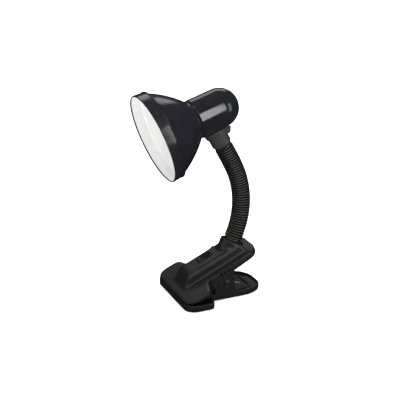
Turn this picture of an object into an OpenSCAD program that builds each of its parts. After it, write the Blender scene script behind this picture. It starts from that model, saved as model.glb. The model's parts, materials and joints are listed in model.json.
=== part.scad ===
// Clip-on reading lamp: spring clip base, bendable neck, round metal shade
// with a lampholder in a domed cup. Millimetres, +Z up. The underside of the
// clip stands on z = 0, the jaws point to -X and the handles to +X. The plane
// y = 0 is the plane of symmetry.

/* [Shade and cup] */
// Radius of the mouth of the shade
mouth_r = 62.5; // [55:0.5:64]
// Thickness of the shade's sheet metal
shade_t = 0.8; // [0.6:0.1:1.2]
// Radius of the domed cup behind the shade
cup_r = 27.1; // [26.9:0.1:27.4]
// Downward tilt of the shade's axis
head_tilt = 19.3; // [19:0.1:20]

/* [Neck] */
// Outer radius of the corrugated neck sleeve
neck_r = 12.2; // [11.6:0.1:12.6]
// Distance between two bending points of the neck
neck_pitch = 18.8; // [18.5:0.1:19]

/* [Clip] */
// Half width of the jaws
jaw_hw = 59; // [54:1:62]
// Half width of the lower body at its side plates
body_hw = 36.4; // [35.5:0.1:37]
// Height of the lower tray's wall
tray_h = 9; // [8.5:0.1:9.5]
// Wall thickness of the plastic mouldings
wall = 2.2; // [2:0.1:2.4]
// Angle of the upper arm to the flat lower body
arm_tilt = 24.2; // [24:0.1:24.4]
// Radius of the hinge pin
pin_r = 2.0; // [1.8:0.1:2.2]

/* [Hidden] */
$fn = 96;

// upper arm frame: x along the arm from the jaw's front edge, z out of its top
arm_x0 = -43.9;
arm_z0 = 12.0;
// hinge pin of the clip
piv_x = 25.7;
piv_z = 21.9;
// the same point in the arm frame
piv_u = (piv_x - arm_x0)*cos(arm_tilt) + (piv_z - arm_z0)*sin(arm_tilt);
piv_w = -(piv_x - arm_x0)*sin(arm_tilt) + (piv_z - arm_z0)*cos(arm_tilt);
// housing on the arm
house_h = 15;
house_hw = 19;
// rocker switch centre in the arm frame
sw_u = 61.4;
sw_v = 3;
// centre of the shade's mouth
head_x = -68.8;
head_z = 231.9;
// neck: start point and the direction of each link from the vertical
neck_x0 = 48.6;
neck_z0 = 68.1;
neck_dir = [20, 21, 12, 3, -6, -15, -24, -29, -29];
neck_ball = 14;
neck_gap = 0.25;
core_r = 6.4;
core_bore = 3.4;
sleeve_in = 6.5;
// bracket station along the head axis
br_t = 88.5;

function dirv(a) = [sin(a), 0, cos(a)];
function bend(i) = i == 0
    ? [neck_x0, 0, neck_z0] + neck_pitch/2*dirv(neck_dir[0])
    : bend(i - 1) + neck_pitch*dirv(neck_dir[i]);

module arm_frame() translate([arm_x0, 0, arm_z0]) rotate([0, -arm_tilt, 0]) children();
// head frame: z along the shade's axis from the mouth to the cup, x down
module head_frame() translate([head_x, 0, head_z]) rotate([0, 90 - head_tilt, 0]) children();
// a profile drawn in x-z, extruded along y about the middle
module side(w, y = 0) translate([0, y, 0]) rotate([90, 0, 0]) linear_extrude(height = w, center = true) children();
// mirror copy across the plane of symmetry
module both() { children(); mirror([0, 1, 0]) children(); }

// arc points
function arc(cx, cy, r, a0, a1, n) = [for (i = [0:n]) let (a = a0 + (a1 - a0)*i/n) [cx + r*cos(a), cy + r*sin(a)]];

// ---------------------------------------------------------------- lower body
// outline of the lower jaw, k = inset
module jaw_low_2d(k = 0) {
    polygon(concat(
        arc(arm_x0 + 16.5, jaw_hw - 15.5, 16.5 - k, 180, 90, 16),
        arc(-10, jaw_hw + 1 - 8.5, 8.5 - k, 90, 8, 10),
        [[1.6 - k, body_hw - 0.01]],
        [[1.6 - k, -body_hw + 0.01]],
        arc(-10, -(jaw_hw + 1 - 8.5), 8.5 - k, -8, -90, 10),
        arc(arm_x0 + 16.5, -(jaw_hw - 15.5), 16.5 - k, 270, 180, 16)));
}
// outline of the tray that carries the side plates and the lower handle
module tray_2d(k = 0) {
    polygon(concat(
        [[-6, -(body_hw - k)]],
        [for (i = [0:16]) let (a = -90 + 90*i/16) [51.5 + (35.5 - k)*cos(a), -(body_hw - 28) + (28 - k)*sin(a)]],
        [for (i = [0:16]) let (a = 90*i/16) [51.5 + (35.5 - k)*cos(a), body_hw - 28 + (28 - k)*sin(a)]],
        [[-6, body_hw - k]]));
}
// side plate profile in x-z
module ear_2d() {
    difference() {
        union() {
            polygon(concat(
                [[2.2, 2], [2.2, 27], [-0.2, 31.5], [0.6, 33.9]],
                [[32.6, 47.6], [34.6, 45.9], [35.6, 38.8], [37.0, 27.7]],
                arc(47.4, 18.8, 9.9, 172, 262, 8),
                [[60, tray_h], [60, 2]]));
        }
        translate([5.8, 19.8]) circle(r = 6.6, $fn = 48);
        polygon([[1.5, 19], [9.5, 19], [6.6, 8.2], [4.6, 8.2]]);
        polygon([[-2, 14], [4, 14], [4, 26.2], [-2, 26.2]]);
        // four short slots under the arm
        for (i = [0:3]) translate([16.4 + 5.4*i, 37.2 + 2.6*i]) rotate(8)
            square([1.9, 6.0], center = true);
    }
}
module base_shell() color([0.10, 0.10, 0.11]) {
    difference() {
        union() {
            // floor and perimeter wall of the jaw
            difference() {
                linear_extrude(height = tray_h) jaw_low_2d();
                translate([0, 0, 2.4]) linear_extrude(height = tray_h) intersection() {
                    jaw_low_2d(wall);
                    translate([-60, -80]) square([62, 160]);
                }
            }
            // tray of the lower handle
            difference() {
                linear_extrude(height = tray_h) tray_2d();
                translate([0, 0, 2.4]) linear_extrude(height = tray_h) intersection() {
                    tray_2d(wall);
                    translate([-5.8, -80]) square([120, 160]);
                }
            }
            // side plates
            both() translate([0, -(body_hw - wall/2), 0]) side(wall) ear_2d();
            // bosses of the hinge pin
            both() translate([piv_x, -(body_hw - 0.01), piv_z]) rotate([90, 0, 0]) difference() {
                cylinder(r = 4.7, h = 1.3);
                cylinder(r = 3.9, h = 3);
            }
            // ribs on the floor of the handle
            translate([69.4, -19, 2]) cube([1.6, 38, 3.2]);
            for (s = [-1, 1]) translate([38, s*17.5 - 0.8, 2]) cube([32, 1.6, 3.2]);
            for (s = [-1, 1]) translate([70.2, s*17.5, 2]) rotate([0, 0, s*160]) translate([0, -0.8, 0]) cube([26, 1.6, 3.2]);
            // cross wall behind the jaw
            translate([-5.2, -35, 2]) cube([wall, 70, 5]);
        }
        translate([piv_x, 0, piv_z]) rotate([90, 0, 0]) cylinder(r = pin_r, h = 100, center = true);
        side(140) polygon([[42, tray_h + 0.01], [90, tray_h - 2.6], [90, 20], [42, 20]]);
    }
}
module lower_jaw_pad() color([0.16, 0.16, 0.17]) {
    difference() {
        translate([0, 0, 2.4]) linear_extrude(height = 5.9) intersection() {
            jaw_low_2d(wall + 0.3);
            translate([-60, -80]) square([53.9, 160]);
        }
        for (i = [0:6]) translate([-38 + i*4.6, -80, 7.3]) cube([1.6, 160, 3]);
    }
}
module hinge_pin() color([0.72, 0.73, 0.75]) {
    translate([piv_x, 0, piv_z]) rotate([90, 0, 0]) cylinder(r = pin_r, h = 2*body_hw + 2.6, center = true);
    translate([piv_x, -body_hw, piv_z]) rotate([90, 0, 0]) cylinder(r = 3.3, h = 1.0);
}
module pin_retainer() color([0.60, 0.60, 0.62]) {
    translate([piv_x, body_hw + 0.05, piv_z]) rotate([-90, 0, 0]) difference() {
        cylinder(r = 3.6, h = 0.8);
        translate([0, 0, -1]) cylinder(r = pin_r + 0.02, h = 3);
        translate([-0.9, 0, -1]) cube([1.8, 8, 3]);
    }
}
spring_r = 4.6;
spring_w = 1.1;
module clip_spring() color([0.70, 0.66, 0.58]) {
    translate([piv_x, 0, piv_z]) {
        for (i = [0:8]) translate([0, -9.6 + i*2.4, 0]) rotate([90, 0, 0])
            rotate_extrude($fn = 48) translate([spring_r, 0]) circle(r = spring_w + 0.12, $fn = 20);
        // lower leg into the tray
        translate([0, -9.6, 0]) rotate([0, 0, 0]) translate([0, 0, -spring_r]) rotate([0, 90 + 17.2, 0]) cylinder(r = spring_w, h = 36, $fn = 24);
        // upper leg under the handle
        translate([0, 9.6, 0]) rotate([0, 0, 0]) translate([0, 0, spring_r]) rotate([0, 90 - 42, 0]) cylinder(r = spring_w, h = 29, $fn = 24);
    }
}

// ---------------------------------------------------------------- upper arm
module arm_2d(k = 0) {
    polygon(concat(
        arc(16, jaw_hw - 16, 16 - k, 180, 90, 16),
        arc(29, jaw_hw - 11, 11 - k, 90, 22, 10),
        [[45 - k, 33.4 - k]],
        [[84, 33.4 - k], [88, 31 - k]],
        arc(114, 28.6 - 18, 18 - k, 84, 12, 14),
        arc(114, -(28.6 - 18), 18 - k, -12, -84, 14),
        [[88, -(31 - k)], [84, -(33.4 - k)]],
        [[45 - k, -(33.4 - k)]],
        arc(29, -(jaw_hw - 11), 11 - k, -22, -90, 10),
        arc(16, -(jaw_hw - 16), 16 - k, 270, 180, 16)));
}
// lower edge line of the skirt in the arm frame's x-z
module skirt_2d() {
    polygon([[-1, 0.01], [-1, -3.0], [4, -3.2], [44, -10], [piv_u - 13.5, -10], [piv_u - 5.5, piv_w - 5.5], [piv_u + 5.5, piv_w - 5.5],
             [piv_u + 13.5, -10.4], [120, -10.4], [133, -9.4], [133, 0.01]]);
}
module lug_2d() {
    difference() {
        union() {
            translate([piv_u, piv_w]) circle(r = 6);
            polygon([[piv_u - 13, -2], [piv_u - 5.9, piv_w + 1], [piv_u + 5.9, piv_w + 1], [piv_u + 13, -2]]);
        }
        translate([piv_u, piv_w]) circle(r = pin_r + 0.05);
    }
}
module house_side_2d(k = 0) {
    polygon([[12.5 + 1.35*k, -0.5], [29 + k*0.65, house_h - k], [113 - k, house_h - k], [119 - k, -0.5]]);
}
module house_block(k = 0) {
    intersection() {
        side(2*(house_hw + 3)) house_side_2d(k);
        translate([-5, 0, 0]) rotate([90, 0, 90]) linear_extrude(height = 140)
            polygon([[-(house_hw + 1 - k), -1], [-(house_hw - k), house_h - 4], [-(house_hw - 4 - k*0.6), house_h - k],
                     [house_hw - 4 - k*0.6, house_h - k], [house_hw - k, house_h - 4], [house_hw + 1 - k, -1]]);
    }
}
module neck_line() translate([neck_x0, 0, neck_z0]) rotate([0, neck_dir[0], 0]) children();
module arm_shell() color([0.10, 0.10, 0.11]) {
    difference() {
        union() {
            difference() {
                union() {
                    arm_frame() intersection() {
                        translate([0, 0, -30]) linear_extrude(height = 30) arm_2d();
                        side(140) skirt_2d();
                    }
                    arm_frame() house_block();
                    // slanted collar of the neck
                    intersection() {
                        neck_line() translate([0, 0, -24]) cylinder(r1 = 18.2, r2 = 16.6, h = 28.4);
                        arm_frame() translate([60, -30, -1]) cube([80, 60, 60]);
                    }
                }
                // hollow underside of plate
                arm_frame() difference() {
                    translate([0, 0, -40]) linear_extrude(height = 40 - 2.4) arm_2d(wall);
                    translate([-5, -80, -42]) cube([8.5, 160, 60]);
                }
                // hollow housing
                arm_frame() intersection() {
                    house_block(2.4);
                    translate([0, -60, -20]) cube([103, 120, 80]);
                }
                arm_frame() translate([20, -15, -3]) cube([80, 30, 3.2]);
                // room for the neck's base fitting
                neck_line() translate([0, 0, -20]) cylinder(r = 9.2, h = 19);
                // round clearance around the side plates of the lower body
                both() translate([piv_x, 35.4, piv_z]) rotate([90, 0, 0]) cylinder(r = 29.9, h = 3.7, center = true);
            }
            arm_frame() both() translate([0, -(33.4 - 1.1), 0]) side(2.2) lug_2d();
            // screw posts of the cover
            arm_frame() for (u = [44, 90], s = [-1, 1]) translate([u, s*12.5, -2.4]) cylinder(r = 3.2, h = house_h + 0.6);
            // floor of the collar that carries the fitting
            intersection() {
                neck_line() translate([0, 0, -4.5]) cylinder(r = 15, h = 3);
                arm_frame() house_block();
            }
        }
        neck_line() translate([0, 0, -3]) cylinder(r = 5.05, h = 6, center = true);
        neck_line() translate([0, 0, -1.5]) cylinder(r = neck_r + 0.25, h = 20);
        arm_frame() for (u = [44, 90], s = [-1, 1]) translate([u, s*12.5, -4]) cylinder(r = 1.3, h = 12);
        // switch recess and cut-out
        arm_frame() translate([sw_u - 11.2, sw_v - 7.9, house_h - 1.5]) cube([22.4, 15.8, 10]);
        arm_frame() translate([sw_u - 9.6, sw_v - 6.6, 3]) cube([19.2, 13.2, 20]);
        // cord inlet through the far side wall of the housing
        arm_frame() translate([84, 10, 6.4]) rotate([-90, 0, 0]) cylinder(r = 4.3, h = 14, $fn = 48);
        // pin clearance through the lugs
        translate([piv_x, 0, piv_z]) rotate([90, 0, 0]) cylinder(r = pin_r + 0.05, h = 80, center = true);
    }
}
module arm_cover() color([0.12, 0.12, 0.13]) {
    arm_frame() difference() {
        translate([38.5, -18, -4.6]) cube([59.5, 36, 2.2]);
        for (u = [44, 90], s = [-1, 1]) translate([u, s*12.5, -6]) cylinder(r = 1.7, h = 6);
        for (i = [0:4]) translate([54 + i*4, -8, -6]) cube([1.6, 16, 6]);
    }
}
module cover_screws() color([0.55, 0.56, 0.58]) {
    arm_frame() for (u = [44, 90], s = [-1, 1]) translate([u, s*12.5, 0]) {
        translate([0, 0, -6.22]) difference() {
            cylinder(r = 2.9, h = 1.6, $fn = 40);
            cube([3.4, 0.7, 1.4], center = true);
            cube([0.7, 3.4, 1.4], center = true);
        }
        translate([0, 0, -4.7]) cylinder(r = 1.3, h = 11, $fn = 32);
    }
}
module upper_jaw_pad() color([0.16, 0.16, 0.17]) {
    arm_frame() difference() {
        intersection() {
            translate([0, 0, -30]) linear_extrude(height = 30 - 2.4) intersection() {
                arm_2d(wall + 0.3);
                translate([4, -80]) square([33, 160]);
            }
            side(140) polygon([[3.7, -2.4], [3.7, -3.9], [38, -9.6], [38, -2.4]]);
        }
        for (i = [0:5]) translate([9 + i*4.8, -80, -11.0 - i*0.8]) cube([1.6, 160, 7.2]);
    }
}

// ---------------------------------------------------------------- switch
module switch_frame() color([0.07, 0.07, 0.08]) {
    arm_frame() translate([sw_u, sw_v, 0]) difference() {
        union() {
            translate([-10.5, -7.5, house_h - 1.5]) cube([21, 15, 1.9]);
            translate([-9.4, -6.4, 3.6]) cube([18.8, 12.8, house_h - 5]);
        }
        translate([-9.1, -5.5, 5.2]) cube([18.2, 11, 20]);
        for (x = [-5, 5]) translate([x - 1.3, -2.6, 2]) cube([0.9, 5.2, 6]);
    }
}
module switch_rocker() color([0.06, 0.06, 0.07]) {
    arm_frame() translate([sw_u, sw_v, house_h - 2.2]) rotate([0, -8, 0]) side(10.6)
        polygon([[-8.4, 3.9], [-7.6, 4.3], [0, 3.0], [7.6, 4.3], [8.4, 3.9], [8.7, 0.2],
                 [5.8, -3], [1.4, -3.2], [0, -5.2], [-1.4, -3.2], [-5.8, -3], [-8.7, 0.2]]);
}
module switch_terminals() color([0.80, 0.66, 0.36]) {
    arm_frame() for (x = [-5, 5]) translate([sw_u + x - 1.25, sw_v - 2.5, -1.6]) cube([0.8, 5, 8]);
}
// insulated lead from the terminals into the neck's core
module switch_leads() color([0.75, 0.75, 0.72]) {
    arm_frame() {
        translate([sw_u + 4.8, sw_v, -0.2]) rotate([0, 90 - 6.9, -5.8]) cylinder(r = 1.1, h = 31, $fn = 24);
    }
}
module cord_grommet() color([0.05, 0.05, 0.05]) {
    arm_frame() translate([84, 0, 6.4]) rotate([-90, 0, 0]) difference() {
        union() {
            translate([0, 0, 16.8]) cylinder(r = 4.25, h = 3.6, $fn = 48);
            translate([0, 0, 20.1]) cylinder(r = 5.6, h = 1.5, $fn = 48);
        }
        translate([0, 0, 10]) cylinder(r = 3.2, h = 20, $fn = 48);
    }
}

// ---------------------------------------------------------------- neck
module neck_base_fitting() color([0.60, 0.61, 0.63]) {
    neck_line() difference() {
        union() {
            translate([0, 0, -1.5]) cylinder(r = 10.5, h = 1.5);
            translate([0, 0, -12]) cylinder(r = 5.0, h = 11);
        }
        translate([0, 0, -14]) cylinder(r = core_bore, h = 20);
    }
}
module neck_base_nut() color([0.66, 0.62, 0.48]) {
    neck_line() translate([0, 0, -8]) difference() {
        cylinder(r = 8.6, h = 3.4, $fn = 6);
        translate([0, 0, -1]) cylinder(r = 5.02, h = 6);
    }
}
// ring section of link i: concave below, convex above
module link_ring(i, ro, ri, hn = 0) {
    translate(bend(i - 1)) rotate([0, neck_dir[i], 0]) rotate_extrude() difference() {
        union() {
            translate([ri, 0]) square([ro - ri, neck_pitch]);
            intersection() {
                translate([ri, neck_pitch - 0.01]) square([ro - ri, neck_ball + 1]);
                translate([0, neck_pitch]) circle(r = neck_ball);
            }
        }
        circle(r = neck_ball + neck_gap);
    }
}
// fixed root of the neck on the arm
module root_ring(ro, ri) {
    neck_line() rotate_extrude() union() {
        translate([ri, 0]) square([ro - ri, neck_pitch/2]);
        intersection() {
            translate([ri, neck_pitch/2 - 0.01]) square([ro - ri, neck_ball + 1]);
            translate([0, neck_pitch/2]) circle(r = neck_ball);
        }
    }
}
// end of the neck inside the bracket
module end_ring(ro, ri, h) {
    translate(bend(7)) rotate([0, neck_dir[8], 0]) rotate_extrude() difference() {
        translate([ri, 0]) square([ro - ri, h]);
        circle(r = neck_ball + neck_gap);
    }
}
neck_end = 24;
module neck_sleeve(i) color([0.13, 0.13, 0.14])
    if (i == 0) root_ring(neck_r, sleeve_in);
    else if (i == 8) end_ring(neck_r, sleeve_in, neck_end);
    else link_ring(i, neck_r, sleeve_in);
module neck_core(i) color([0.55, 0.56, 0.58])
    if (i == 0) root_ring(core_r, core_bore);
    else if (i == 8) end_ring(core_r, core_bore, neck_end);
    else link_ring(i, core_r, core_bore);

// ---------------------------------------------------------------- head
module end_line() translate(bend(7)) rotate([0, neck_dir[8], 0]) children();
module neck_bracket() color([0.20, 0.20, 0.21]) {
    difference() {
        union() {
            // saddle under the cup
            head_frame() intersection() {
                translate([20, 0, br_t]) rotate([0, 90, 0]) linear_extrude(height = 17.5, scale = 0.74)
                    polygon(concat(arc(7.8, 0, 14.5, 90, -90, 20), arc(-15.5, -8.5, 6, 270, 180, 8), arc(-15.5, 8.5, 6, 180, 90, 8)));
                difference() {
                    cylinder(r = cup_r + 9.6, h = 130);
                    translate([0, 0, -1]) cylinder(r = cup_r + 0.75, h = 140);
                }
            }
            // collar
            end_line() translate([0, 0, 15.5]) cylinder(r = 14.0, h = 22);
        }
        // clear of the cup
        head_frame() translate([0, 0, 40]) cylinder(r = cup_r + 0.75, h = 90);
        end_line() translate([0, 0, 10]) cylinder(r = neck_r + 0.25, h = neck_end - 10);
        end_line() translate([0, 0, 10]) cylinder(r = 5.05, h = 40);
        end_line() translate([0, 0, 33]) cylinder(r = 9.2, h = 12);
        head_frame() for (s = [-1, 1]) translate([20, 0, br_t + s*15.5]) rotate([0, 90, 0]) cylinder(r = 1.53, h = 14.4, $fn = 32);
    }
}
module neck_top_fitting() color([0.60, 0.61, 0.63]) {
    end_line() difference() {
        translate([0, 0, neck_end]) cylinder(r = 5.0, h = 13);
        translate([0, 0, 10]) cylinder(r = core_bore, h = 40);
    }
}
module neck_top_nut() color([0.66, 0.62, 0.48]) {
    end_line() translate([0, 0, 33]) difference() {
        cylinder(r = 8.4, h = 3.2, $fn = 6);
        translate([0, 0, -1]) cylinder(r = 5.02, h = 6);
    }
}
module bracket_screws() color([0.55, 0.56, 0.58]) {
    head_frame() for (s = [-1, 1]) translate([0, 0, br_t + s*15.5]) rotate([0, 90, 0]) {
        translate([0, 0, 18.8]) cylinder(r = 1.5, h = 15, $fn = 32);
        translate([0, 0, 17.2]) cylinder(r = 2.9, h = 1.65, $fn = 40);
    }
}
// cup: straight wall with a slight taper and a domed end
cup_in = cup_r - 2.0;
dome_t = 102.4;
module socket_cup() color([0.09, 0.09, 0.11]) {
    head_frame() difference() {
        rotate_extrude() polygon(concat(
            [[cup_in, 62.95], [cup_r - 1.0, 62.95], [cup_r + 0.5, 64.9]],
            arc(0, dome_t, cup_r, 0, 87, 18), [[0, dome_t + cup_r*sin(87)], [0, dome_t + cup_in*sin(87)]],
            arc(0, dome_t, cup_in, 87, 0, 18)));
        // holes of the bracket screws and of the neck fitting
        for (s = [-1, 1]) translate([15, 0, br_t + s*15.5]) rotate([0, 90, 0]) cylinder(r = 1.6, h = 20, $fn = 32);
        translate([15, 0, 86.5]) rotate([0, 90, 0]) cylinder(r = 9.9, h = 20);
    }
}
module holder_strap() color([0.70, 0.71, 0.73]) {
    head_frame() difference() {
        union() {
            translate([18.9, -8, 69.5]) cube([1.4, 16, 42.5]);
            translate([18.9, -6, 111]) cube([1.4, 12, 4.1]);
            translate([-10, -6, 113.7]) cube([30.3, 12, 1.4]);
        }
        for (s = [-1, 1]) translate([15, 0, br_t + s*15.5]) rotate([0, 90, 0]) cylinder(r = 1.6, h = 20, $fn = 32);
        translate([15, 0, 86.5]) rotate([0, 90, 0]) cylinder(r = 5.6, h = 20);
        translate([0, 0, 110]) cylinder(r = 2.1, h = 10, $fn = 32);
    }
}
module strap_screw() color([0.55, 0.56, 0.58]) {
    head_frame() {
        translate([0, 0, 115.15]) cylinder(r = 3.4, h = 2.0, $fn = 40);
        translate([0, 0, 107]) cylinder(r = 1.9, h = 8.2, $fn = 32);
    }
}
module lampholder_body() color([0.90, 0.89, 0.86]) {
    head_frame() difference() {
        union() {
            translate([0, 0, 57]) cylinder(r = 17.0, h = 56.6);
            translate([0, 0, 57]) cylinder(r = 19.9, h = 8);
            translate([0, 0, 62.95]) cylinder(r = 22.6, h = 4);
        }
        translate([0, 0, 50]) cylinder(r = 13.95, h = 54);
        translate([0, 0, 104.5]) cylinder(r = 1.9, h = 20, $fn = 32);
        for (s = [-1, 1]) translate([0, s*12.6, 103]) cylinder(r = 1.6, h = 20, $fn = 32);
    }
}
module lampholder_shell() color([0.82, 0.68, 0.36]) {
    head_frame() difference() {
        translate([0, 0, 70]) cylinder(r = 13.9, h = 29);
        translate([0, 0, 60]) cylinder(r = 13.4, h = 50);
    }
}
module lampholder_contact() color([0.82, 0.68, 0.36]) {
    head_frame() {
        translate([-8, -3, 100.85]) cube([12, 6, 0.8]);
        translate([-8, -3, 100.85]) cube([0.8, 6, 3.13]);
    }
}
module terminal_screws() color([0.62, 0.62, 0.60]) {
    head_frame() for (s = [-1, 1]) translate([0, s*12.6, 0]) {
        translate([0, 0, 105]) cylinder(r = 1.58, h = 8.7, $fn = 32);
        translate([0, 0, 113.65]) cylinder(r = 2.6, h = 1.5, $fn = 40);
    }
}
module shade_ring() color([0.90, 0.89, 0.86]) {
    head_frame() difference() {
        translate([0, 0, 57.4]) cylinder(r = 25, h = 4.2);
        translate([0, 0, 50]) cylinder(r = 19.95, h = 20);
        for (a = [0:5]) rotate([0, 0, a*60]) translate([24.9, 0, 56]) cylinder(r = 1.4, h = 10, $fn = 24);
    }
}
// shade: lip, step and a bowl that follows one long arc to the flat seat
bowl_r = 143;
bowl_c = [-44.1, -70.2];
function bowl(o, n) = [for (i = [0:n]) let (a = 26 + 20.7*i/n)
    [bowl_c[1] + (bowl_r - o)*cos(a), bowl_c[0] + (bowl_r - o)*sin(a)]];
function rev(v) = [for (i = [len(v) - 1:-1:0]) v[i]];
module shade() color([0.08, 0.08, 0.10]) {
    head_frame() rotate_extrude($fn = 128) polygon(concat(
        [[mouth_r - 0.9, 0], [mouth_r, 0.6], [mouth_r - 0.8, 14.6], [mouth_r - 0.5, 15.4], [mouth_r - 1.1, 16.4], [59.2, 17.4]],
        bowl(0, 14),
        [[27.4, 61.7], [26.2, 62.9], [20.3, 62.9], [20.3, 61.7], [26.0, 61.7]],
        rev(bowl(shade_t, 14)),
        [[58.4, 16.8], [mouth_r - 1.1 - shade_t, 15.7], [mouth_r - shade_t, 1.2], [mouth_r - 1.8, 0.4]]));
}
module bulb_cap() color([0.75, 0.75, 0.74]) {
    head_frame() rotate_extrude() polygon([[0, 71], [13.0, 71], [13.2, 72], [13.2, 95], [10.5, 97.6], [5, 99.2], [0, 99.2]]);
}
module bulb_contact() color([0.66, 0.64, 0.58]) {
    head_frame() translate([0, 0, 99.2]) cylinder(r = 4.6, h = 1.6, $fn = 48);
}
module bulb_globe() color([0.97, 0.97, 0.94]) {
    head_frame() rotate_extrude() polygon(concat(
        [[0, 70.9], [12.6, 70.9], [13.4, 57.1]], arc(0, 40, 22.5, 44, -87, 24), [[0, 40 - 22.5*sin(87)]]));
}

base_shell();
lower_jaw_pad();
hinge_pin();
pin_retainer();
clip_spring();
arm_shell();
arm_cover();
cover_screws();
upper_jaw_pad();
switch_frame();
switch_rocker();
switch_terminals();
switch_leads();
cord_grommet();
neck_base_fitting();
neck_base_nut();
neck_core(0);  // neck_core_0
neck_sleeve(0);  // neck_sleeve_0
neck_core(1);  // neck_core_1
neck_sleeve(1);  // neck_sleeve_1
neck_core(2);  // neck_core_2
neck_sleeve(2);  // neck_sleeve_2
neck_core(3);  // neck_core_3
neck_sleeve(3);  // neck_sleeve_3
neck_core(4);  // neck_core_4
neck_sleeve(4);  // neck_sleeve_4
neck_core(5);  // neck_core_5
neck_sleeve(5);  // neck_sleeve_5
neck_core(6);  // neck_core_6
neck_sleeve(6);  // neck_sleeve_6
neck_core(7);  // neck_core_7
neck_sleeve(7);  // neck_sleeve_7
neck_core(8);  // neck_core_8
neck_sleeve(8);  // neck_sleeve_8
neck_bracket();
neck_top_fitting();
neck_top_nut();
bracket_screws();
socket_cup();
holder_strap();
strap_screw();
lampholder_body();
lampholder_shell();
lampholder_contact();
terminal_screws();
shade_ring();
shade();
bulb_cap();
bulb_contact();
bulb_globe();
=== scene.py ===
import json
import math

import bmesh
import bpy
import numpy as np
from mathutils import Matrix, Vector


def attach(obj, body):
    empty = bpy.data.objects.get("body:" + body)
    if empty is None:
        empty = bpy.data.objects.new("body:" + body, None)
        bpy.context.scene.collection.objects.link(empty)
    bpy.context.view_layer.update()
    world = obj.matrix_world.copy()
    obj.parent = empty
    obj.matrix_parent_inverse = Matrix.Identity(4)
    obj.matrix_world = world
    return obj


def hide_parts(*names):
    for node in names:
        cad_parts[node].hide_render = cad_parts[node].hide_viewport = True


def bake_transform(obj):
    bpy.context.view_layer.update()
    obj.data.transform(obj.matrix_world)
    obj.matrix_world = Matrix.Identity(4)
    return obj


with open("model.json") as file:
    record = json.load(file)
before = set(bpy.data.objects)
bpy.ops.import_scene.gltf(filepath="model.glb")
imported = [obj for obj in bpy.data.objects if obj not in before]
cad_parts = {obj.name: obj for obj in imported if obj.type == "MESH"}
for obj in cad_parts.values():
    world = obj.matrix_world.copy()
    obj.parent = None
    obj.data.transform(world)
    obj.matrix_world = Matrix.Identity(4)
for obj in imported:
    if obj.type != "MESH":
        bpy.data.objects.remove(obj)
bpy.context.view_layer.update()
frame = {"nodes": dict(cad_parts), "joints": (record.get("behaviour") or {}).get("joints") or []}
scene = bpy.context.scene
nodes = frame["nodes"]
joints = {j["name"]: Vector(j["pos_m"]) for j in frame["joints"]}

# ------------------------------------------------------------------ frames
PIV = joints["clip_hinge"]
ARM0 = PIV - Vector((0.0696, 0, 0.0099))
ARM_A = math.radians(24.2)
HEAD0 = joints["neck_bend_8"] + Vector((-0.10865, 0, 0.02978))
HEAD_A = math.radians(19.3)
BENDS = [joints["neck_bend_%d" % i] for i in range(1, 9)]
PITCH = 0.0188


def arm(u, v, w):
    """Point of the arm frame (mm) in the row frame (m)."""
    c, s = math.cos(ARM_A), math.sin(ARM_A)
    return ARM0 + Vector((u * c - w * s, v, u * s + w * c)) / 1000


def to_arm(co):
    c, s = math.cos(ARM_A), math.sin(ARM_A)
    d = (co - np.array(ARM0)) * 1000
    return np.stack([d[:, 0] * c + d[:, 2] * s, d[:, 1], -d[:, 0] * s + d[:, 2] * c], 1)


HEAD_T = Vector((math.cos(HEAD_A), 0, math.sin(HEAD_A)))
HEAD_P = Vector((math.sin(HEAD_A), 0, -math.cos(HEAD_A)))
HEAD_Y = Vector((0, 1, 0))


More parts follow.
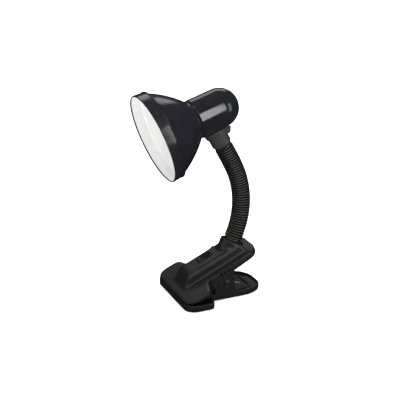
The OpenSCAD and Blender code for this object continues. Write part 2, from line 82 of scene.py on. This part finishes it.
# ------------------------------------------------------------------ materials
def material(name, color, rough, metallic=0.0, coat=0.0, coat_rough=0.05, var=0.12,
             var_scale=60.0, rough_var=0.08, bump=0.15, bump_scale=900.0,
             bump_dist=0.0001, spec=0.5, transmission=0.0, ior=1.5, voronoi=False,
             sub=0.0, stretch=(1, 1, 1)):
    m = bpy.data.materials.new(name)
    m.use_nodes = True
    nt = m.node_tree
    nt.nodes.clear()
    out = nt.nodes.new("ShaderNodeOutputMaterial")
    b = nt.nodes.new("ShaderNodeBsdfPrincipled")
    nt.links.new(b.outputs["BSDF"], out.inputs["Surface"])
    tc = nt.nodes.new("ShaderNodeTexCoord")
    mp = nt.nodes.new("ShaderNodeMapping")
    mp.inputs["Scale"].default_value = stretch
    nt.links.new(tc.outputs["Object"], mp.inputs["Vector"])
    n1 = nt.nodes.new("ShaderNodeTexNoise")
    n1.inputs["Scale"].default_value = var_scale
    n1.inputs["Detail"].default_value = 4.0
    nt.links.new(mp.outputs["Vector"], n1.inputs["Vector"])
    ramp = nt.nodes.new("ShaderNodeMapRange")
    ramp.inputs["From Min"].default_value = 0.3
    ramp.inputs["From Max"].default_value = 0.7
    ramp.inputs["To Min"].default_value = 0.0
    ramp.inputs["To Max"].default_value = 1.0
    nt.links.new(n1.outputs["Fac"], ramp.inputs["Value"])
    mix = nt.nodes.new("ShaderNodeMix")
    mix.data_type = "RGBA"
    lo = [max(0.0, c * (1 - var)) for c in color]
    hi = [min(1.0, c * (1 + var)) for c in color]
    mix.inputs[6].default_value = (*lo, 1)
    mix.inputs[7].default_value = (*hi, 1)
    nt.links.new(ramp.outputs["Result"], mix.inputs[0])
    nt.links.new(mix.outputs[2], b.inputs["Base Color"])
    rr = nt.nodes.new("ShaderNodeMapRange")
    rr.inputs["From Min"].default_value = 0.3
    rr.inputs["From Max"].default_value = 0.7
    rr.inputs["To Min"].default_value = max(0.02, rough - rough_var)
    rr.inputs["To Max"].default_value = min(1.0, rough + rough_var)
    n2 = nt.nodes.new("ShaderNodeTexNoise")
    n2.inputs["Scale"].default_value = var_scale * 3.1
    n2.inputs["Detail"].default_value = 3.0
    nt.links.new(mp.outputs["Vector"], n2.inputs["Vector"])
    nt.links.new(n2.outputs["Fac"], rr.inputs["Value"])
    nt.links.new(rr.outputs["Result"], b.inputs["Roughness"])
    b.inputs["Metallic"].default_value = metallic
    b.inputs["Specular IOR Level"].default_value = spec
    b.inputs["IOR"].default_value = ior
    b.inputs["Coat Weight"].default_value = coat
    b.inputs["Coat Roughness"].default_value = coat_rough
    b.inputs["Transmission Weight"].default_value = transmission
    if sub > 0:
        b.inputs["Subsurface Weight"].default_value = sub
        b.inputs["Subsurface Radius"].default_value = (0.01, 0.01, 0.01)
        b.inputs["Subsurface Scale"].default_value = 0.3
    if bump > 0:
        if voronoi:
            t = nt.nodes.new("ShaderNodeTexVoronoi")
            t.inputs["Scale"].default_value = bump_scale
            h = t.outputs["Distance"]
        else:
            t = nt.nodes.new("ShaderNodeTexNoise")
            t.inputs["Scale"].default_value = bump_scale
            t.inputs["Detail"].default_value = 2.0
            h = t.outputs["Fac"]
        nt.links.new(mp.outputs["Vector"], t.inputs["Vector"])
        bp = nt.nodes.new("ShaderNodeBump")
        bp.inputs["Strength"].default_value = bump
        bp.inputs["Distance"].default_value = bump_dist
        nt.links.new(h, bp.inputs["Height"])
        nt.links.new(bp.outputs["Normal"], b.inputs["Normal"])
    return m


M = {
    "plastic": material("clip_plastic_black", (0.0072, 0.0072, 0.0074), 0.38, bump=0.22,
                        bump_scale=1500, bump_dist=0.00006, voronoi=True, var=0.2, rough_var=0.05,
                        spec=0.30),
    "pad": material("pad_rubber_black", (0.005, 0.005, 0.005), 0.75, bump=0.3, bump_scale=1200,
                    spec=0.12),
    "shade": material("shade_enamel_black", (0.0085, 0.0085, 0.0112), 0.20,
                      bump=0.04, bump_scale=160, bump_dist=0.0002, rough_var=0.03, var=0.12,
                      spec=0.42),
    "inside": material("shade_lacquer_white", (0.70, 0.70, 0.695), 0.50, bump=0.05, bump_scale=300,
                       var=0.03, rough_var=0.05, spec=0.3),
    "cup": material("cup_gloss_black", (0.0085, 0.0085, 0.0112), 0.11,
                    bump=0.03, bump_scale=130, bump_dist=0.0002, rough_var=0.03, var=0.12,
                    spec=0.32),
    "sleeve": material("sleeve_pvc_black", (0.0135, 0.0135, 0.0125), 0.30, bump=0.03,
                       bump_scale=400, var=0.15, rough_var=0.02, spec=0.6),
    # painted shade: a darker, matt, nearly unreflective copy of the sleeve's black PVC, put on the corrugation valleys
    # to darken them
    "painted_groove_shade": material("sleeve_groove_painted_shade", (0.0015, 0.0015, 0.0015), 0.85, bump=0.03,
                       bump_scale=400, var=0.15, spec=0.02),
    "bracket": material("bracket_plastic_grey", (0.024, 0.024, 0.0245), 0.50, bump=0.25,
                        bump_scale=1400, voronoi=True, var=0.12, spec=0.35),
    "switch": material("switch_plastic_black", (0.006, 0.006, 0.0065), 0.25, bump=0.08,
                       bump_scale=700, var=0.15, rough_var=0.04, spec=0.25),
    "pin": material("pin_black_oxide", (0.010, 0.010, 0.011), 0.40, bump=0.10,
                    bump_scale=600, var=0.2, spec=0.2),
    "steel": material("steel_brushed", (0.56, 0.57, 0.58), 0.32, metallic=1.0, bump=0.12,
                      bump_scale=500, var=0.08, stretch=(1, 1, 8)),
    "zinc": material("screw_zinc", (0.62, 0.62, 0.60), 0.30, metallic=1.0, bump=0.10,
                     bump_scale=600, var=0.10),
    "spring": material("spring_steel_wire", (0.30, 0.25, 0.16), 0.34, metallic=1.0, bump=0.10,
                       bump_scale=700, var=0.12),
    "brass": material("brass_nickel", (0.78, 0.60, 0.30), 0.28, metallic=1.0, bump=0.08,
                      bump_scale=500, var=0.10),
    "core": material("gooseneck_steel", (0.42, 0.42, 0.43), 0.38, metallic=1.0, bump=0.2,
                     bump_scale=400, var=0.10, stretch=(1, 1, 6)),
    "lead": material("lead_pvc", (0.62, 0.62, 0.59), 0.40, bump=0.08, bump_scale=500, var=0.05),
    "holder": material("holder_plastic_white", (0.78, 0.77, 0.73), 0.35, bump=0.06,
                       bump_scale=500, var=0.03),
    "cap": material("cap_nickel", (0.66, 0.66, 0.64), 0.25, metallic=1.0, bump=0.08,
                    bump_scale=500, var=0.08),
    "bulb": material("bulb_opal", (0.86, 0.86, 0.83), 0.18, coat=0.5, coat_rough=0.05, bump=0.02,
                     bump_scale=200, var=0.02, rough_var=0.03, sub=0.2),
}


# ------------------------------------------------------------------ helpers
def link(name, me):
    ob = bpy.data.objects.new(name, me)
    scene.collection.objects.link(ob)
    return ob


def mesh_from(name, verts, faces, mats, idx=None, smooth=True):
    me = bpy.data.meshes.new(name)
    me.from_pydata([tuple(v) for v in verts], [], faces)
    for m in mats:
        me.materials.append(M[m])
    if idx is not None:
        me.polygons.foreach_set("material_index", idx)
    me.polygons.foreach_set("use_smooth", [smooth] * len(me.polygons))
    bm = bmesh.new()
    bm.from_mesh(me)
    bmesh.ops.recalc_face_normals(bm, faces=bm.faces)
    bm.to_mesh(me)
    bm.free()
    me.update()
    return link(name, me)


def finish_piece(ob, body, slot, *replaced):
    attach(ob, body)
    if replaced:
        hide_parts(*replaced)
    return ob


def round_profile(pts, seg=4):
    """pts: (r, t, radius) corners of a closed profile, in mm, with every corner rounded."""
    out = []
    n = len(pts)
    for i, (r, t, rad) in enumerate(pts):
        p = Vector((r, t))
        a = Vector(pts[i - 1][:2]) - p
        b = Vector(pts[(i + 1) % n][:2]) - p
        if rad <= 0 or a.length < 1e-9 or b.length < 1e-9:
            out.append((r, t))
            continue
        ang = a.angle(b)
        cut = min(rad / max(math.tan(ang / 2), 1e-6), a.length * 0.48, b.length * 0.48)
        p0 = p + a.normalized() * cut
        p1 = p + b.normalized() * cut
        for k in range(seg + 1):
            s = k / seg
            q = p0 * (1 - s) ** 2 + p * 2 * s * (1 - s) + p1 * s ** 2
            out.append((q.x, q.y))
    return out


def spin(name, profile, mats, n=128, pick=None, origin=None, axis=None, side=None):
    """Turned piece about the head axis. profile: closed list of (r, t) in mm, clockwise or not."""
    origin = HEAD0 if origin is None else origin
    T = HEAD_T if axis is None else axis
    P = HEAD_P if side is None else side
    Y = T.cross(P).normalized()
    verts, rows = [], []
    for r, t in profile:
        c = origin + T * (t / 1000)
        if r < 1e-6:
            rows.append([len(verts)])
            verts.append(c)
            continue
        row = []
        for k in range(n):
            a = 2 * math.pi * k / n
            row.append(len(verts))
            verts.append(c + (P * math.cos(a) + Y * math.sin(a)) * (r / 1000))
        rows.append(row)
    faces, idx = [], []
    m = len(rows)
    for i in range(m):
        a, b = rows[i], rows[(i + 1) % m]
        if len(a) == 1 and len(b) == 1:
            continue
        w = 0
        if pick is not None:
            w = pick(profile[i], profile[(i + 1) % m])
        for k in range(n):
            k2 = (k + 1) % n
            if len(a) == 1:
                faces.append((a[0], b[k2], b[k]))
            elif len(b) == 1:
                faces.append((a[k], a[k2], b[0]))
            else:
                faces.append((a[k], a[k2], b[k2], b[k]))
            idx.append(w)
    return mesh_from(name, verts, faces, mats, idx)


def tube(name, path, radius, mats, n=20, caps=True):
    """Round wire along a list of points (m)."""
    pts = [Vector(p) for p in path]
    tans = []
    for i in range(len(pts)):
        a = pts[max(0, i - 1)]
        b = pts[min(len(pts) - 1, i + 1)]
        tans.append((b - a).normalized())
    ref = tans[0].orthogonal().normalized()
    verts, faces = [], []
    for i, (p, t) in enumerate(zip(pts, tans)):
        if i:
            q = tans[i - 1].rotation_difference(t)
            ref = q @ ref
        ref = (ref - t * ref.dot(t)).normalized()
        bi = t.cross(ref)
        end = min(i, len(pts) - 1 - i)
        rad = radius * (0.72 if end == 0 else 1.0)
        for k in range(n):
            a = 2 * math.pi * k / n
            verts.append(p + (ref * math.cos(a) + bi * math.sin(a)) * rad)
    for i in range(len(pts) - 1):
        for k in range(n):
            k2 = (k + 1) % n
            faces.append((i * n + k, i * n + k2, (i + 1) * n + k2, (i + 1) * n + k))
    faces.append(tuple(range(n))[::-1])
    faces.append(tuple(range((len(pts) - 1) * n, len(pts) * n)))
    return mesh_from(name, verts, faces, mats)


def evaluated_mesh(ob):
    dg = bpy.context.evaluated_depsgraph_get()
    me = bpy.data.meshes.new_from_object(ob.evaluated_get(dg))
    return me


def voxel_copy(node, name, voxel):
    """A closed, evenly meshed copy of a CAD node's surface."""
    me = nodes[node].data.copy()
    bm = bmesh.new()
    bm.from_mesh(me)
    bmesh.ops.remove_doubles(bm, verts=bm.verts, dist=3e-6)
    bm.to_mesh(me)
    bm.free()
    ob = link(name, me)
    md = ob.modifiers.new("remesh", "REMESH")
    md.mode = "VOXEL"
    md.voxel_size = voxel
    md.adaptivity = 0.0
    new = evaluated_mesh(ob)
    ob.modifiers.clear()
    ob.data = new
    new.materials.clear()
    return ob


def relax(ob, weight, steps, lam=0.5):
    """Rounds edges: weight(co) gives each point's share of the smoothing, as an array in 0..1."""
    me = ob.data
    n = len(me.vertices)
    co = np.zeros(n * 3)
    me.vertices.foreach_get("co", co)
    co = co.reshape(-1, 3)
    ed = np.zeros(len(me.edges) * 2, np.int64)
    me.edges.foreach_get("vertices", ed)
    ed = ed.reshape(-1, 2)
    a, b = ed[:, 0], ed[:, 1]
    deg = np.maximum(np.bincount(a, minlength=n) + np.bincount(b, minlength=n), 1)
    w = (lam * weight(co))[:, None]
    for _ in range(steps):
        s = np.stack([np.bincount(a, co[b, k], n) + np.bincount(b, co[a, k], n) for k in range(3)], 1)
        co = co + w * (s / deg[:, None] - co)
    me.vertices.foreach_set("co", co.ravel())
    me.update()
    return ob


def ramp(x, a, b):
    t = np.clip((x - a) / (b - a), 0, 1)
    return t * t * (3 - 2 * t)


def cut(ob, cutters):
    """Takes the cutter objects away from ob, and keeps the result as plain geometry."""
    for c in cutters:
        md = ob.modifiers.new("cut", "BOOLEAN")
        md.operation = "DIFFERENCE"
        md.solver = "EXACT"
        md.object = c
    new = evaluated_mesh(ob)
    ob.modifiers.clear()
    ob.data = new
    for c in cutters:
        bpy.data.objects.remove(c)
    return ob


def rod(name, p0, p1, r, n=48):
    """A plain round cutter from p0 to p1 (m)."""
    t = (p1 - p0).normalized()
    s = t.orthogonal().normalized()
    return spin(name, [(0, 0), (r * 1000, 0), (r * 1000, (p1 - p0).length * 1000),
                       (0, (p1 - p0).length * 1000)], ["cup"], n=n, origin=p0, axis=t, side=s)


def set_material(ob, key):
    ob.data.materials.clear()
    ob.data.materials.append(M[key])
    ob.data.polygons.foreach_set("use_smooth", [True] * len(ob.data.polygons))


def cad_look(node, key, bevel=0.0, seg=2, angle=35, smooth=True):
    """A CAD node shown as it is, with its finish and softened edges."""
    ob = nodes[node]
    ob.data.materials.clear()
    ob.data.materials.append(M[key])
    if smooth:
        ob.data.polygons.foreach_set("use_smooth", [True] * len(ob.data.polygons))
    wd = ob.modifiers.new("weld", "WELD")
    wd.merge_threshold = 3e-6
    if bevel > 0:
        md = ob.modifiers.new("soft_edges", "BEVEL")
        md.width = bevel
        md.segments = seg
        md.limit_method = "ANGLE"
        md.angle_limit = math.radians(angle)
        md.use_clamp_overlap = True
    wn = ob.modifiers.new("even_normals", "WEIGHTED_NORMAL")
    wn.keep_sharp = False
    wn.weight = 60


# ------------------------------------------------------------------ clip: arm
VOX = 0.0007
arm_ob = voxel_copy("arm_shell", "arm_moulding", VOX)


def arm_soft(co):
    p = to_arm(co)
    u, v, w = p[:, 0], np.abs(p[:, 1]), p[:, 2]
    up = ramp(w, -1.2, 0.8)
    # crisp round the switch and the neck seat
    box = np.maximum(np.abs(u - 61.4) - 12.5, np.abs(p[:, 1] - 3) - 9.0)
    near = 1 - ramp(box, 0.0, 4.0)
    near = near * ramp(w, 8, 11)
    neck = np.linalg.norm(np.stack([u - 104.5, p[:, 1]], 1), axis=1)
    seat = (1 - ramp(neck, 13.8, 15.5)) * ramp(w, 6, 9)
    inside = (1 - ramp(v, 16.2, 17.4)) * (1 - ramp(w, 12.2, 12.9)) * ramp(u, 14, 20)
    return up * (1 - 0.97 * near) * (1 - 0.97 * seat) * (1 - 0.9 * inside)


k = (0.0007 / VOX) ** 2
relax(arm_ob, arm_soft, int(55 * k), 0.5)
relax(arm_ob, lambda co: np.ones(len(co)), max(2, int(4 * k)), 0.5)
set_material(arm_ob, "plastic")
finish_piece(arm_ob, "arm", "black_plastic", "arm_shell")

# ------------------------------------------------------------------ clip: lower body
base_ob = voxel_copy("base_shell", "base_moulding", VOX)


def base_soft(co):
    y, z = np.abs(co[:, 1]) * 1000, co[:, 2] * 1000
    ear = ramp(y, 33.4, 34.0) * ramp(z, 24.5, 27)
    return 1 - 0.75 * ear


relax(base_ob, base_soft, max(3, int(5 * k)), 0.5)
set_material(base_ob, "plastic")
finish_piece(base_ob, "base", "black_plastic", "base_shell")

# ------------------------------------------------------------------ neck bracket
br_ob = voxel_copy("neck_bracket", "bracket_moulding", 0.0006)
relax(br_ob, lambda co: np.ones(len(co)), 8, 0.5)
set_material(br_ob, "bracket")
finish_piece(br_ob, "head", "bracket_grey", "neck_bracket")

# ------------------------------------------------------------------ spring
coil = []
turns = 9
for i in range(turns * 28 + 1):
    a = -math.pi / 2 + 2 * math.pi * i / 28
    y = -0.0096 + 0.0192 * i / (turns * 28)
    coil.append(PIV + Vector((0.0047 * math.cos(a), y, 0.0047 * math.sin(a))))
leg = Vector((math.cos(math.radians(17.2)), 0, -math.sin(math.radians(17.2))))
low = [PIV + Vector((0, -0.0096, -0.0047)) + leg * (0.036 * (1 - i / 14)) for i in range(14)]
low = [p + Vector((0, 0, 0.0)) for p in low]
spring_low = tube("spring_coil", low + coil, 0.0011, ["spring"], n=16)
finish_piece(spring_low, "base", "spring_steel", "clip_spring")
up_dir = Vector((math.cos(math.radians(42)), 0, math.sin(math.radians(42))))
start = PIV + Vector((0, 0.0096, 0.0046))
high = [start + up_dir * (0.0285 * i / 14) for i in range(15)]
spring_up = tube("spring_arm_leg", high, 0.0011, ["spring"], n=16)
finish_piece(spring_up, "arm", "spring_steel")

# ------------------------------------------------------------------ corrugated neck
N0 = BENDS[0] - (BENDS[1] - BENDS[0]).normalized() * 0
d0 = Vector((math.sin(math.radians(20)), 0, math.cos(math.radians(20))))
N0 = BENDS[0] - d0 * (PITCH / 2)
d8 = Vector((math.sin(math.radians(-29)), 0, math.cos(math.radians(-29))))
mids = [N0]
for i in range(7):
    mids.append((BENDS[i] + BENDS[i + 1]) / 2)
mids.append(BENDS[7] + d8 * (PITCH / 2))
RIDGES = 5
R_LOW, R_TOP, R_IN = 11.7, 13.25, 7.3
R_HELD = 12.2


def sleeve(name, pts, tans, lens, pitch, body_n=96, held=None):
    """Corrugated wall, closed at both ends, round a curve in the x-z plane."""
    verts, faces = [], []
    rows = len(pts)

    def ring(p, t, r):
        nrm = Vector((-t.z, 0, t.x))
        out = []
        for q in range(body_n):
            a = 2 * math.pi * q / body_n
            out.append(len(verts))
            verts.append(p + (nrm * math.cos(a) + Vector((0, 1, 0)) * math.sin(a)) * (r / 1000))
        return out

    # marks the sleeve rows that lie in the corrugation valleys, where the painted shade goes
    loops, painted_groove_shade = [], []
    for p, t, s in zip(pts, tans, lens):
        f = (0.5 - 0.5 * math.cos(2 * math.pi * s / pitch)) ** 0.6
        painted_groove_shade.append(f < 0.55)
        top = R_TOP if held is None or s > held else R_HELD
        loops.append(ring(p, t, R_LOW + (top - R_LOW) * f))
    for i in range(rows - 1, -1, -6):
        loops.append(ring(pts[i], tans[i], R_IN))
    if (rows - 1) % 6:
        loops.append(ring(pts[0], tans[0], R_IN))
    m = len(loops)
    for i in range(m):
        a, b = loops[i], loops[(i + 1) % m]
        for q in range(body_n):
            q2 = (q + 1) % body_n
            faces.append((a[q], a[q2], b[q2], b[q]))
    ob = mesh_from(name, verts, faces, ["sleeve", "painted_groove_shade"])
    # painted shade: faces between two valley rows take the dark matt material (index 1)
    for k, poly in enumerate(ob.data.polygons):
        i = k // body_n
        poly.material_index = 1 if i < rows - 1 and painted_groove_shade[i] and painted_groove_shade[i + 1] else 0
    return ob


STEPS = RIDGES * 10
for i in range(8):
    a, b, c = mids[i], BENDS[i], mids[i + 1]
    pts, tans = [], []
    for q in range(STEPS + 1):
        s = q / STEPS
        pts.append(a * (1 - s) ** 2 + b * 2 * s * (1 - s) + c * s ** 2)
        tans.append(((b - a) * (1 - s) + (c - b) * s).normalized())
    lens = [q / STEPS * RIDGES for q in range(STEPS + 1)]
    ob = sleeve("neck_cover_%d" % (i + 1), pts, tans, lens, 1.0, 96, 2.0 if i == 0 else None)
    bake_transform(ob)
    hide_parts("neck_sleeve_%d" % i)
# the last length, held in the bracket's collar
L_END = 0.0144
cnt = 46
pts = [mids[8] + d8 * (L_END * q / cnt) for q in range(cnt + 1)]
ob = sleeve("neck_cover_end", pts, [d8] * (cnt + 1), [L_END * q / cnt / (PITCH / RIDGES) for q in range(cnt + 1)], 1.0,
            held=99.0)
finish_piece(ob, "head", "sleeve_black", "neck_sleeve_8")

# ------------------------------------------------------------------ shade
mr, st = 62.5, 0.8
outer = [(mr - 0.9, 0.0, 0.5), (mr, 0.7, 0.6), (mr - 0.95, 13.6, 0.5), (mr - 0.15, 15.0, 0.5),
         (mr - 1.1, 16.4, 0.6), (59.2, 17.4, 0.7)]
br, bc = 143.0, (-44.1, -70.2)


def bowl(off, n):
    res = []
    for i in range(n + 1):
        a = math.radians(26 + 20.7 * i / n)
        res.append((bc[1] + (br - off) * math.cos(a), bc[0] + (br - off) * math.sin(a), 0))
    return res


n_b = 26
body_out = bowl(0, n_b)[1:]
body_in = bowl(st, n_b)[1:][::-1]
prof = outer + body_out + [(27.4, 61.7, 0.3), (26.2, 62.9, 0.5), (20.3, 62.9, 0.2), (20.3, 61.7, 0.2),
                           (26.0, 61.7, 0.3)] + body_in + [
    (58.4, 16.8, 0.6), (mr - 1.1 - st, 15.7, 0.5), (mr - 1.0, 2.4, 0.2), (mr - 1.7, 2.0, 0.3),
    (mr - 1.9, 0.3, 0.3)]
prof = round_profile(prof, 4)


def shade_pick(p, q):
    """1 on the white lacquered inside, 0 on the black outside."""
    r, t = (p[0] + q[0]) / 2, (p[1] + q[1]) / 2
    if t > 61.65 and t < 63.0:
        return 1 if t < 62.3 and r < 26.4 else 0
    if t > 18.3:
        lim = bc[1] + (br - st / 2) * math.cos(math.asin(min(1, max(-1, (t - bc[0]) / (br - st / 2)))))
        return 1 if r < lim else 0
    if t > 15.6:
        return 1 if r < min(61.2, max(61.0 - (t - 16.05) * 2.095, 58.8 - (t - 17.1) * 0.548)) else 0
    if t < 2.0:
        return 0
    return 1 if r < mr - 0.45 - t * 0.058 else 0


sh = spin("shade_turned", prof, ["shade", "inside"], n=224, pick=shade_pick)
finish_piece(sh, "head", "shade_enamel", "shade")

# ------------------------------------------------------------------ cup
cr = 27.1
cin = cr - 2.0
dome = 102.4
cup = [(cin, 62.95, 0.2), (cr - 1.0, 62.95, 0.3), (cr + 0.5, 64.9, 1.2)]
nd = 30
for i in range(nd):
    a = math.radians(90 * i / nd)
    cup.append((cr * math.cos(a), dome + cr * math.sin(a), 0))
cup.append((0, dome + cr, 0))
cup.append((0, dome + cin, 0))
for i in range(nd - 1, -1, -1):
    a = math.radians(90 * i / nd)
    cup.append((cin * math.cos(a), dome + cin * math.sin(a), 0))
cup_ob = spin("cup_turned", round_profile(cup, 4), ["cup"], n=160)
holes = []
for s in (-1, 1):
    c = HEAD0 + HEAD_T * ((88.5 + 15.5 * s) / 1000)
    holes.append(rod("hole_cut", c + HEAD_P * 0.015, c + HEAD_P * 0.035, 0.0016, 32))
c = HEAD0 + HEAD_T * 0.0865
holes.append(rod("hole_cut", c + HEAD_P * 0.015, c + HEAD_P * 0.035, 0.0099, 64))
cut(cup_ob, holes)
cup_ob.data.polygons.foreach_set("use_smooth", [True] * len(cup_ob.data.polygons))
md = cup_ob.modifiers.new("even_normals", "WEIGHTED_NORMAL")
md.weight = 80
finish_piece(cup_ob, "head", "cup_black", "socket_cup")

# ------------------------------------------------------------------ bulb
gl = [(0, 70.9, 0), (12.6, 70.9, 0.2), (13.4, 69.6, 0.4), (13.4, 58.5, 1.0)]
for i in range(0, 41):
    a = math.radians(40 - 130 * i / 40)
    r = 22.5 * math.cos(a)
    t = 40 + 22.5 * math.sin(a)
    gl.append((max(r, 0), t, 0))
gl[-1] = (0, 17.5, 0)
globe = spin("bulb_turned", round_profile(gl, 5), ["bulb"], n=96)
finish_piece(globe, "head", "bulb_opal", "bulb_globe")
cap = [(0, 71.0, 0), (12.9, 71.0, 0.2), (13.05, 72.4, 0.3)]
for i in range(0, 61):
    t = 73.2 + 19.6 * i / 60
    cap.append((12.75 + 0.40 * math.cos(2 * math.pi * (t - 73.2) / 3.6), t, 0))
cap += [(12.6, 94.6, 0.5), (10.5, 97.4, 0.8), (5.0, 99.15, 0.5), (0, 99.15, 0)]
cap_ob = spin("bulb_cap_turned", round_profile(cap, 3), ["cap"], n=96)
finish_piece(cap_ob, "head", "cap_nickel", "bulb_cap")

# ------------------------------------------------------------------ CAD nodes shown as they are
for n_, key_, bev in [
        ("lower_jaw_pad", "pad", 0.0005), ("upper_jaw_pad", "pad", 0.0005),
        ("hinge_pin", "pin", 0.0003), ("pin_retainer", "pin", 0.00015),
        ("arm_cover", "plastic", 0.0004), ("cover_screws", "zinc", 0.0002),
        ("switch_frame", "switch", 0.0004), ("switch_rocker", "switch", 0.0006),
        ("switch_terminals", "brass", 0.0001), ("switch_leads", "lead", 0.0001),
        ("cord_grommet", "pad", 0.0004), ("neck_base_fitting", "steel", 0.0002),
        ("neck_base_nut", "brass", 0.0003), ("neck_top_fitting", "steel", 0.0002),
        ("neck_top_nut", "brass", 0.0003), ("bracket_screws", "zinc", 0.0002),
        ("holder_strap", "steel", 0.0002),
        ("strap_screw", "zinc", 0.0002), ("lampholder_body", "holder", 0.0005),
        ("lampholder_shell", "brass", 0.0001), ("lampholder_contact", "brass", 0.0001),
        ("terminal_screws", "zinc", 0.0002), ("shade_ring", "holder", 0.0004),
        ("bulb_contact", "brass", 0.0003)]:
    cad_look(n_, key_, bev)
for i in range(9):
    cad_look("neck_core_%d" % i, "core", 0.0)

# ------------------------------------------------------------------ studio
floor_me = bpy.data.meshes.new("floor")
bm = bmesh.new()
bmesh.ops.create_grid(bm, x_segments=8, y_segments=8, size=9.0)
bm.to_mesh(floor_me)
bm.free()
floor = link("floor", floor_me)
floor.location = (0, 0, -0.0003)
fm = material("floor_white", (0.90, 0.90, 0.90), 0.8, bump=0.0, var=0.006, var_scale=2.0,
              rough_var=0.02, spec=0.1)
floor_me.materials.append(fm)
floor.visible_glossy = False


def softbox(name, loc, target, sx, sy, power, long_axis=None, glossy=True):
    ld = bpy.data.lights.new(name, "AREA")
    ld.shape = "RECTANGLE"
    ld.size, ld.size_y = sx, sy
    ld.energy = power
    ob = bpy.data.objects.new(name, ld)
    scene.collection.objects.link(ob)
    ob.location = loc
    z = (Vector(loc) - Vector(target)).normalized()
    if long_axis is None:
        ob.rotation_euler = (-z).to_track_quat("-Z", "Y").to_euler()
    else:
        y = Vector(long_axis)
        y = (y - z * y.dot(z)).normalized()
        x = y.cross(z).normalized()
        ob.rotation_euler = Matrix((x, y, z)).transposed().to_euler()
    ob.visible_glossy = glossy
    return ob


softbox("strip_box", (0.205, -0.835, 0.545), (0.01, -0.025, 0.265), 0.10, 0.66, 2.7,
        long_axis=(-0.187, 0.112, 0.531))
softbox("front_box", (-0.9, -1.3, 1.5), (0, 0, 0.15), 1.5, 1.2, 18)
softbox("side_box", (-1.5, 0.2, 0.7), (0, 0, 0.2), 0.5, 0.9, 4)
softbox("right_box", (1.1, -1.2, 0.5), (0, 0, 0.15), 0.5, 1.1, 7)
softbox("far_box", (0.5, 1.4, 1.6), (0, 0, 0.15), 1.6, 0.9, 9)
softbox("top_box", (0.1, 0.2, 2.2), (0, 0, 0.0), 1.8, 1.8, 64, glossy=False)
softbox("back_box", (1.0, 2.3, 2.6), (1.0, 2.3, 0.0), 4.5, 4.0, 130, glossy=False)
world = bpy.data.worlds.new("studio")
scene.world = world
world.use_nodes = True
wt = world.node_tree
wt.nodes["Background"].inputs["Color"].default_value = (0.97, 0.98, 1.0, 1)
wt.nodes["Background"].inputs["Strength"].default_value = 0.50
world.cycles_visibility.glossy = False
scene.view_settings.view_transform = "Standard"

cam_d = bpy.data.cameras.new("camera")
cam = bpy.data.objects.new("camera", cam_d)
scene.collection.objects.link(cam)
AZ, EL, DIST = math.radians(-23.64), math.radians(19.21), 1.2
target = Vector((0, 0, 0.13858))
back = Vector((math.sin(AZ) * math.cos(EL), -math.cos(AZ) * math.cos(EL), math.sin(EL)))
cam.location = target + back * DIST
cam.rotation_euler = (-back).to_track_quat("-Z", "Y").to_euler()
cam_d.sensor_width = 36
cam_d.lens = 78.37
cam_d.clip_end = 60
cam_d.dof.use_dof = False
scene.camera = cam
